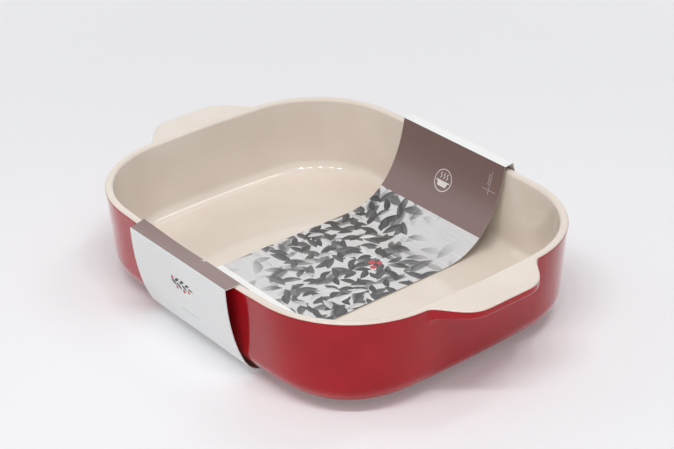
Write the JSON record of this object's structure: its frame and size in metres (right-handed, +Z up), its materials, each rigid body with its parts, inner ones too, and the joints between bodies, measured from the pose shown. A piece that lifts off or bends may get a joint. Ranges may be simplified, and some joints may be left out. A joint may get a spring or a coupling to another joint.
{
  "type": "baking dish",
  "caption": "Rectangular stoneware baking dish with tab handles, cream inside and red outside, standing in a folded card display sleeve.",
  "frame": {"origin": "on the surface the part stands on, in the underside of the sleeve, under the middle of the dish", "axes": "+X from handle to handle, +Y from the sleeve's front to its rear, +Z up"},
  "size_m": [0.34, 0.2491, 0.0728],
  "materials": {
    "stoneware": "bare fired clay",
    "cream_glaze": "gloss cream glaze",
    "red_glaze": "gloss red glaze",
    "white_card": "coated white card",
    "brown_card": "card printed brown",
    "printed_card": "card printed in greys and brown"
  },
  "bodies": {
    "dish": {"stoneware_body": "stoneware", "interior_glaze": "cream_glaze", "exterior_glaze": "red_glaze", "base_glaze": "red_glaze"},
    "sleeve_band": {"sleeve_base_panel": "white_card", "sleeve_rear_panel": "white_card", "sleeve_rear_rim_strip": "white_card"},
    "sleeve_front": {"sleeve_front_panel": "white_card"},
    "sleeve_front_flap": {"sleeve_front_rim_strip": "brown_card"},
    "sleeve_inner": {"sleeve_inner_panel": "printed_card"}
  },
  "joints": [
    {"name": "sleeve_slide", "type": "slide", "parent": "dish", "child": "sleeve_band", "axis": [1, 0, 0], "range_m": [-0.02, 0.02]},
    {"name": "front_panel_fold", "type": "hinge", "parent": "sleeve_band", "child": "sleeve_front", "pos_m": [0, -0.11394, 0.01062], "axis": [1, 0, 0], "range_deg": [0, 85]},
    {"name": "front_strip_fold", "type": "hinge", "parent": "sleeve_front", "child": "sleeve_front_flap", "pos_m": [0, -0.1265, 0.06835], "axis": [1, 0, 0], "range_deg": [0, 85]},
    {"name": "inner_panel_lift", "type": "hinge", "parent": "sleeve_band", "child": "sleeve_inner", "pos_m": [0, 0.1114, 0.07185], "axis": [-1, 0, 0], "range_deg": [0, 110]}
  ],
  "couplings": [
    {"joint": "front_strip_fold", "follows": "front_panel_fold", "ratio": 1}
  ]
}
